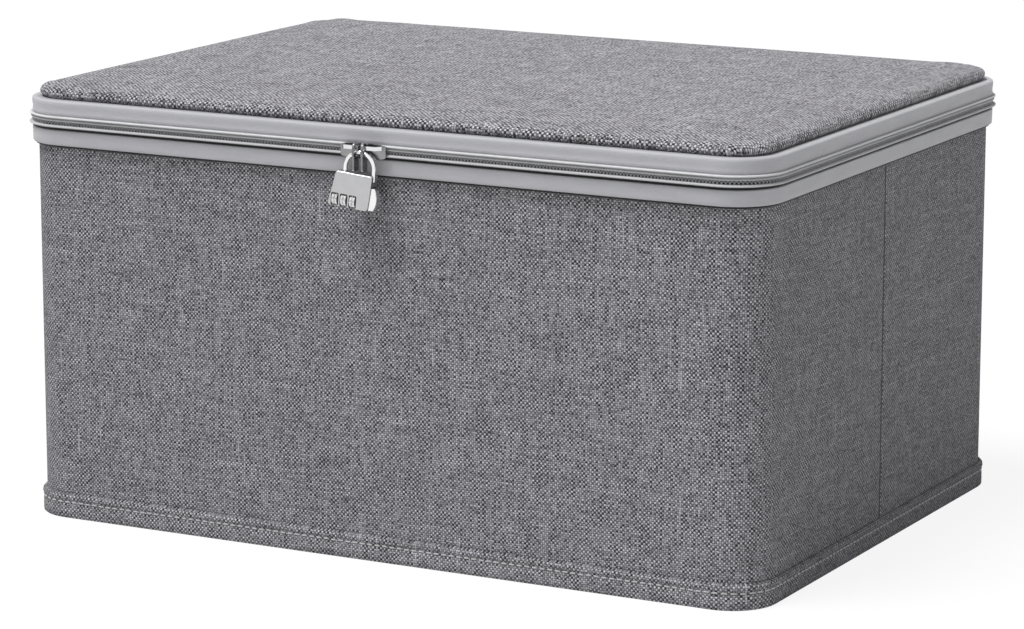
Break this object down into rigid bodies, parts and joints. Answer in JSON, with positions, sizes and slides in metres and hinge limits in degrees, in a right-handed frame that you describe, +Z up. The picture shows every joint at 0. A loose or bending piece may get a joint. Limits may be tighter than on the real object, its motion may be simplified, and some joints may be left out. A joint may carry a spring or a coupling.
{
  "type": "lockable fabric storage box",
  "caption": "Rectangular grey woven-fabric storage box with a padded zip-round lid hinged at the back and a small number padlock joining the zip sliders.",
  "frame": {"origin": "centre of the flat base, on the surface the box stands on", "axes": "+Z up, -Y towards the front with the lock, +X to the right seen from the front"},
  "size_m": [0.403, 0.3059, 0.2161],
  "materials": {
    "melange_fabric": "coarse grey melange basket weave",
    "lining_cloth": "plain thin non-woven lining",
    "grey_ribbon": "smooth light grey ribbed ribbon",
    "zip_tape": "folded light grey zip tape",
    "zip_coil": "grey moulded coil",
    "stiff_board": "plain board",
    "pad_foam": "soft foam sheet",
    "slider_metal": "plated zinc, a little dull",
    "shackle_chrome": "polished",
    "lock_chrome": "satin plated zinc",
    "dial_chrome": "plated, with dark figures",
    "lock_steel": "plain steel"
  },
  "bodies": {
    "box": {"base_fabric": "melange_fabric", "base_board": "stiff_board", "base_lining": "lining_cloth", "foot_rim": "melange_fabric", "front_wall_fabric": "melange_fabric", "back_wall_fabric": "melange_fabric", "front_wall_board": "stiff_board", "back_wall_board": "stiff_board", "wall_lining": "lining_cloth", "lower_band": "grey_ribbon", "lower_zip_tape": "zip_tape", "lower_zip_coil": "zip_coil", "hinge_ribbon_lower": "grey_ribbon", "zip_end_tabs": "grey_ribbon"},
    "lid": {"upper_band": "grey_ribbon", "upper_zip_tape": "zip_tape", "upper_zip_coil": "zip_coil", "hinge_ribbon_upper": "grey_ribbon", "lid_rim_board": "stiff_board", "lid_rim_fabric": "melange_fabric", "lid_board": "stiff_board", "lid_lining": "lining_cloth", "lid_pad": "pad_foam", "lid_cover": "melange_fabric"},
    "left_slider": {"left_slider_body": "slider_metal", "left_slider_crown": "slider_metal"},
    "right_slider": {"right_slider_body": "slider_metal", "right_slider_crown": "slider_metal"},
    "left_pull": {"left_pull_tab": "slider_metal"},
    "right_pull": {"right_pull_tab": "slider_metal"},
    "shackle": {"shackle": "shackle_chrome"},
    "lock_case": {"lock_front_shell": "lock_chrome", "lock_back_shell": "lock_chrome", "shackle_pivot_pin": "lock_steel", "lock_rivets": "lock_steel", "dial_spindle": "lock_steel", "dial_detent_leaf": "lock_steel", "button_spring": "lock_steel"},
    "dial_1": {"number_dial_1": "dial_chrome"},
    "dial_2": {"number_dial_2": "dial_chrome"},
    "dial_3": {"number_dial_3": "dial_chrome"},
    "release_button": {"release_button": "lock_chrome", "latch_bar": "lock_steel"}
  },
  "joints": [
    {"name": "lid_hinge", "type": "hinge", "parent": "box", "child": "lid", "pos_m": [0, 0.1493, 0.1974], "axis": [-1, 0, 0], "range_deg": [0, 175]},
    {"name": "left_slider_travel", "type": "slide", "parent": "box", "child": "left_slider", "axis": [-1, 0, 0], "range_m": [0, 0.15]},
    {"name": "right_slider_travel", "type": "slide", "parent": "box", "child": "right_slider", "axis": [1, 0, 0], "range_m": [0, 0.15]},
    {"name": "right_pull_swing", "type": "hinge", "parent": "right_slider", "child": "right_pull", "pos_m": [0.0005, -0.1532, 0.1994], "axis": [-1, 0, 0], "range_deg": [0, 60]},
    {"name": "left_pull_swing", "type": "hinge", "parent": "left_slider", "child": "left_pull", "pos_m": [-0.0041, -0.1532, 0.1994], "axis": [-1, 0, 0], "range_deg": [0, 60]},
    {"name": "lock_swing", "type": "hinge", "parent": "right_pull", "child": "shackle", "pos_m": [-0.0018, -0.1532, 0.1968], "axis": [-1, 0, 0], "range_deg": [0, 90]},
    {"name": "shackle_release", "type": "hinge", "parent": "shackle", "child": "lock_case", "pos_m": [-0.00977, -0.1532, 0.18564], "axis": [0, 1, 0], "range_deg": [0, 25]},
    {"name": "dial_1_spin", "type": "hinge", "parent": "lock_case", "child": "dial_1", "pos_m": [-0.01371, -0.1532, 0.17504], "axis": [0.9962, 0, -0.0872], "continuous": true},
    {"name": "dial_2_spin", "type": "hinge", "parent": "lock_case", "child": "dial_2", "pos_m": [-0.00898, -0.1532, 0.17463], "axis": [0.9962, 0, -0.0872], "continuous": true},
    {"name": "dial_3_spin", "type": "hinge", "parent": "lock_case", "child": "dial_3", "pos_m": [-0.00425, -0.1532, 0.17421], "axis": [0.9962, 0, -0.0872], "continuous": true},
    {"name": "release_button_press", "type": "slide", "parent": "lock_case", "child": "release_button", "axis": [-0.9962, 0, 0.0872], "range_m": [0, 0.0012], "stiffness_N_per_m": 300, "springref_m": -0.001}
  ],
  "couplings": [
    {"joint": "left_pull_swing", "follows": "right_pull_swing", "ratio": 1}
  ]
}
